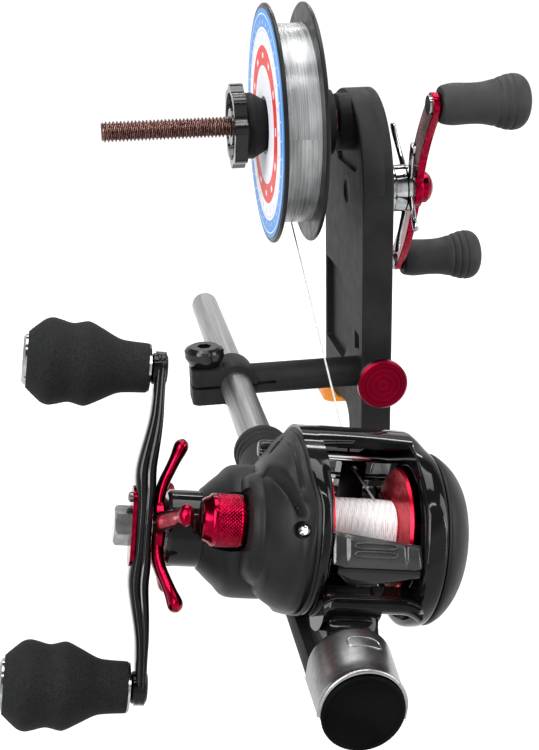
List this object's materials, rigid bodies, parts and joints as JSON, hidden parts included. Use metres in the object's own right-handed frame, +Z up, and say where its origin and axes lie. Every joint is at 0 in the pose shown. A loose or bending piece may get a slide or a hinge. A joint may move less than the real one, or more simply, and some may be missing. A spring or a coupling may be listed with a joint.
{
  "type": "fishing line winder",
  "caption": "Table-clamped geared line spooler with a hand crank, a spool shaft with cones, and a sliding bar that holds a baitcasting reel.",
  "frame": {"origin": "middle of the clamp pad's lower face, the face that rests on the table", "axes": "+X along the crank and spool shafts towards the crank, +Y away from the user over the table, +Z up"},
  "size_m": [0.1991, 0.3242, 0.2835],
  "materials": {
    "matte_black": "fine textured matte",
    "dark_plate": "satin matte",
    "gloss_black": "high gloss",
    "gloss_metal": "gloss lacquer",
    "pad_orange": "satin",
    "red_anodised": "glossy anodised",
    "chrome": "polished",
    "steel": "satin",
    "bronze": "satin",
    "brass": "machined",
    "tube_aluminium": "lengthwise brushed",
    "hood_silver": "satin",
    "soft_knob": "matte",
    "grip_foam": "fine grained foam",
    "spool_black": "semi gloss",
    "mono_line": "translucent gloss",
    "braid": "fine woven",
    "label": "printed satin",
    "dark_grey": "satin",
    "felt": "felt"
  },
  "bodies": {
    "base": {"column_body": "matte_black", "column_cover": "matte_black", "cover_screws": "steel", "table_pad": "pad_orange", "shaft_bearing": "steel", "bronze_bushes": "bronze"},
    "clamp_pad": {"clamp_swivel_pad": "soft_knob"},
    "clamp_screw": {"clamp_screw": "gloss_metal"},
    "crank": {"crank_shaft": "steel", "crank_gear": "brass", "drag_washers": "felt", "drag_hub": "chrome", "winder_crank": "red_anodised", "crank_cap": "red_anodised", "crank_knob_pins": "chrome"},
    "winder_star": {"winder_star": "chrome"},
    "knob_upper": {"crank_knob_upper": "soft_knob"},
    "knob_lower": {"crank_knob_lower": "soft_knob"},
    "shaft": {"spool_shaft": "steel", "shaft_pinion": "steel", "inner_cone": "matte_black", "supply_spool": "spool_black", "supply_line": "mono_line", "supply_label": "label"},
    "outer_cone": {"outer_cone": "matte_black"},
    "hand_nut": {"hand_nut": "gloss_black"},
    "arm": {"cross_arm": "matte_black"},
    "arm_lock": {"arm_lock_screw": "red_anodised"},
    "bar_clamp": {"bar_clamp_screw": "gloss_black"},
    "bar": {"reel_bar": "tube_aluminium"},
    "reel": {"seat_barrel": "matte_black", "seat_collar": "matte_black", "rear_hood": "hood_silver", "seat_end_cap": "matte_black", "reel_frame": "gloss_metal", "gear_side_plate": "dark_plate", "gear_neck": "gloss_metal", "palm_side_plate": "dark_plate", "plate_screws": "chrome", "guide_bars": "chrome", "levelwind_cover": "gloss_metal", "line_run": "mono_line"},
    "worm": {"levelwind_worm": "steel"},
    "guide": {"line_guide": "gloss_black"},
    "thumb": {"thumb_bar": "dark_grey"},
    "cast_cap": {"cast_control_cap": "red_anodised"},
    "reel_spool": {"reel_spool": "red_anodised", "reel_line": "braid", "pinion_gear": "brass"},
    "handle": {"drive_shaft": "steel", "drive_gear": "brass", "reel_handle": "gloss_metal", "handle_nut": "chrome", "handle_retainer": "red_anodised", "grip_spindles": "gloss_metal"},
    "reel_star": {"reel_star": "red_anodised"},
    "grip_up": {"grip_upper": "grip_foam", "grip_cap_upper": "chrome"},
    "grip_low": {"grip_lower": "grip_foam", "grip_cap_lower": "chrome"}
  },
  "joints": [
    {"name": "crank_spin", "type": "hinge", "parent": "base", "child": "crank", "pos_m": [0, -0.029, 0.097], "axis": [1, 0, 0], "continuous": true},
    {"name": "shaft_spin", "type": "hinge", "parent": "base", "child": "shaft", "pos_m": [0, -0.029, 0.1242], "axis": [1, 0, 0], "continuous": true},
    {"name": "winder_star_turn", "type": "hinge", "parent": "crank", "child": "winder_star", "pos_m": [0, -0.029, 0.097], "axis": [1, 0, 0], "range_deg": [0, 360]},
    {"name": "knob_upper_spin", "type": "hinge", "parent": "crank", "child": "knob_upper", "pos_m": [0, -0.0537, 0.13281], "axis": [1, 0, 0], "continuous": true},
    {"name": "knob_lower_spin", "type": "hinge", "parent": "crank", "child": "knob_lower", "pos_m": [0, -0.0043, 0.06119], "axis": [1, 0, 0], "continuous": true},
    {"name": "outer_cone_slide", "type": "slide", "parent": "shaft", "child": "outer_cone", "axis": [-1, 0, 0], "range_m": [0, 0.04]},
    {"name": "hand_nut_spin", "type": "hinge", "parent": "outer_cone", "child": "hand_nut", "pos_m": [0, -0.029, 0.1242], "axis": [-1, 0, 0], "range_deg": [0, 10210]},
    {"name": "clamp_pad_slide", "type": "slide", "parent": "base", "child": "clamp_pad", "axis": [0, 0, 1], "range_m": [-0.012, 0.03]},
    {"name": "clamp_screw_spin", "type": "hinge", "parent": "clamp_pad", "child": "clamp_screw", "pos_m": [0, 0, -0.06], "axis": [0, 0, 1], "range_deg": [-3462, 8645]},
    {"name": "arm_tilt", "type": "hinge", "parent": "base", "child": "arm", "pos_m": [0, -0.0502, 0.0285], "axis": [1, 0, 0], "range_deg": [-10, 25], "deforming": ["line_run"]},
    {"name": "arm_lock_turn", "type": "hinge", "parent": "base", "child": "arm_lock", "pos_m": [0, -0.06, 0.0285], "axis": [0, 1, 0], "range_deg": [0, 360]},
    {"name": "bar_clamp_turn", "type": "hinge", "parent": "arm", "child": "bar_clamp", "pos_m": [-0.0672, -0.0502, 0.04], "axis": [0, 0, 1], "range_deg": [0, 360]},
    {"name": "bar_slide", "type": "slide", "parent": "arm", "child": "bar", "axis": [0, 1, 0], "range_m": [-0.06, 0.05], "deforming": ["line_run"]},
    {"name": "reel_turn", "type": "hinge", "parent": "bar", "child": "reel", "pos_m": [-0.056, -0.2, 0.0285], "axis": [0, 1, 0], "range_deg": [-30, 30], "deforming": ["line_run"]},
    {"name": "reel_handle_spin", "type": "hinge", "parent": "reel", "child": "handle", "pos_m": [-0.10094, -0.21553, 0.05193], "axis": [0.9882, 0, -0.153], "continuous": true},
    {"name": "reel_spool_spin", "type": "hinge", "parent": "reel", "child": "reel_spool", "pos_m": [-0.04716, -0.2286, 0.05293], "axis": [0.9882, 0, -0.153], "continuous": true},
    {"name": "worm_spin", "type": "hinge", "parent": "reel", "child": "worm", "pos_m": [-0.04756, -0.2026, 0.05031], "axis": [0.9882, 0, -0.153], "continuous": true},
    {"name": "reel_star_turn", "type": "hinge", "parent": "handle", "child": "reel_star", "pos_m": [-0.10094, -0.21553, 0.05193], "axis": [0.9882, 0, -0.153], "range_deg": [0, 360]},
    {"name": "grip_upper_spin", "type": "hinge", "parent": "handle", "child": "grip_up", "pos_m": [-0.11201, -0.19898, 0.0916], "axis": [0.9882, 0, -0.153], "continuous": true},
    {"name": "grip_lower_spin", "type": "hinge", "parent": "handle", "child": "grip_low", "pos_m": [-0.12348, -0.23207, 0.01746], "axis": [0.9882, 0, -0.153], "continuous": true},
    {"name": "cast_control_turn", "type": "hinge", "parent": "reel", "child": "cast_cap", "pos_m": [-0.07977, -0.2286, 0.05798], "axis": [0.9882, 0, -0.153], "range_deg": [-180, 180]},
    {"name": "thumb_bar_press", "type": "slide", "parent": "reel", "child": "thumb", "axis": [-0.1363, -0.454, -0.8805], "range_m": [0, 0.003], "stiffness_N_per_m": 900, "springref_m": -0.0005},
    {"name": "line_guide_slide", "type": "slide", "parent": "reel", "child": "guide", "axis": [0.9882, 0, -0.153], "range_m": [-0.009, 0.003], "deforming": ["line_run"]}
  ],
  "couplings": [
    {"joint": "shaft_spin", "follows": "crank_spin", "ratio": -2.7778},
    {"joint": "hand_nut_spin", "follows": "outer_cone_slide", "rad_per_m": 4452.7},
    {"joint": "clamp_screw_spin", "follows": "clamp_pad_slide", "rad_per_m": 5026.5},
    {"joint": "reel_spool_spin", "follows": "reel_handle_spin", "ratio": -4.8182},
    {"joint": "worm_spin", "follows": "reel_handle_spin", "ratio": -1.9}
  ]
}
